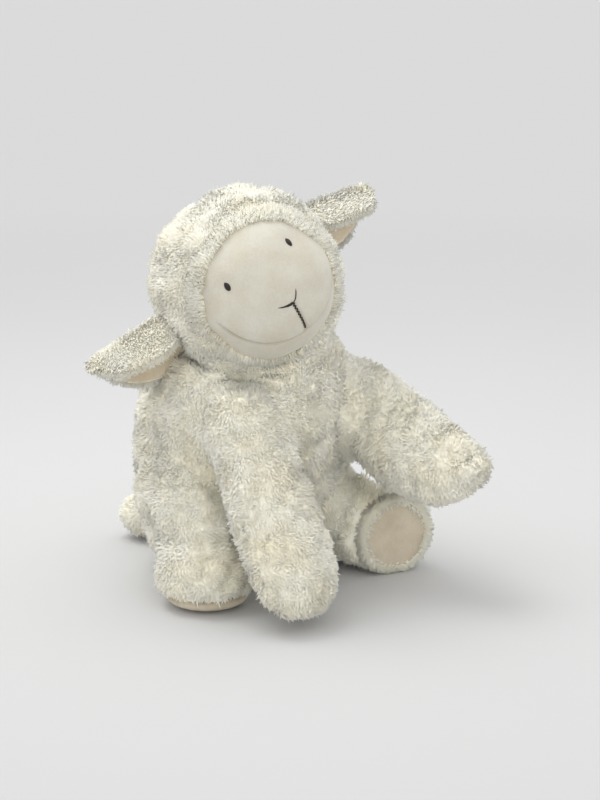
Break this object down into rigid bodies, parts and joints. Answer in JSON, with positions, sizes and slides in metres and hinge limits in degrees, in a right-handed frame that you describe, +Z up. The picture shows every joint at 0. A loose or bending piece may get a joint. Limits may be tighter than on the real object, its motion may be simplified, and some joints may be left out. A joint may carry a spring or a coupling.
{
  "type": "plush sheep",
  "caption": "Seated plush sheep with a curly fleece coat, smooth velour face and soles, folded ears, embroidered eyes and nose, floppy limbs and a short tail.",
  "frame": {"origin": "middle of the flat that the seat rests on, at floor level", "axes": "+Z up, -Y to the toy's front, +X to the toy's own left"},
  "size_m": [0.1866, 0.2651, 0.2467],
  "materials": {
    "fleece": "curly knitted pile, matt",
    "velour": "short smooth nap, soft sheen",
    "stuffing": "loose polyester fibre",
    "embroidery_thread": "satin stitch",
    "bag_canvas": "plain woven"
  },
  "bodies": {
    "torso": {"body_fleece": "fleece", "body_stuffing": "stuffing", "seat_bean_bag": "bag_canvas"},
    "head": {"head_fleece": "fleece", "head_stuffing": "stuffing", "muzzle_stuffing": "stuffing", "face_panel": "velour", "chin_panel": "velour", "left_eye": "embroidery_thread", "right_eye": "embroidery_thread", "nose_stitch": "embroidery_thread", "lip_stitch": "embroidery_thread"},
    "left_ear": {"left_ear_fleece": "fleece", "left_ear_lining": "velour"},
    "right_ear": {"right_ear_fleece": "fleece", "right_ear_lining": "velour"},
    "left_arm": {"left_arm_fleece": "fleece", "left_arm_stuffing": "stuffing"},
    "right_arm": {"right_arm_fleece": "fleece", "right_arm_stuffing": "stuffing"},
    "left_leg": {"left_leg_fleece": "fleece", "left_leg_stuffing": "stuffing", "left_sole": "velour"},
    "right_leg": {"right_leg_fleece": "fleece", "right_leg_stuffing": "stuffing", "right_sole": "velour"},
    "tail": {"tail_fleece": "fleece", "tail_stuffing": "stuffing"}
  },
  "joints": [
    {"name": "neck_tilt", "type": "hinge", "parent": "torso", "child": "head", "pos_m": [0.004, -0.034, 0.1575], "axis": [0.3564, 0.9285, -0.1045], "range_deg": [0, 30]},
    {"name": "left_ear_flap", "type": "hinge", "parent": "head", "child": "left_ear", "pos_m": [0.03295, -0.03685, 0.21843], "axis": [0.4559, -0.2705, -0.848], "range_deg": [0, 15]},
    {"name": "right_ear_flap", "type": "hinge", "parent": "head", "child": "right_ear", "pos_m": [-0.0584, -0.00834, 0.16023], "axis": [-0.4559, 0.2705, 0.848], "range_deg": [0, 15]},
    {"name": "left_shoulder_lift", "type": "hinge", "parent": "torso", "child": "left_arm", "pos_m": [0.058, -0.048, 0.11], "axis": [-0.4696, 0.5296, 0.7064], "range_deg": [0, 50]},
    {"name": "right_shoulder_lift", "type": "hinge", "parent": "torso", "child": "right_arm", "pos_m": [-0.048, -0.059, 0.115], "axis": [-0.8336, 0.5524, 0], "range_deg": [0, 60]},
    {"name": "left_hip_splay", "type": "hinge", "parent": "torso", "child": "left_leg", "pos_m": [0.047, -0.023, 0.036], "axis": [0, 0, 1], "range_deg": [0, 40]},
    {"name": "right_hip_splay", "type": "hinge", "parent": "torso", "child": "right_leg", "pos_m": [-0.052, -0.011, 0.06], "axis": [0, 0, -1], "range_deg": [0, 30]},
    {"name": "tail_swing", "type": "hinge", "parent": "torso", "child": "tail", "pos_m": [0, 0.0509, 0.016], "axis": [0, 0, -1], "range_deg": [0, 22]}
  ]
}
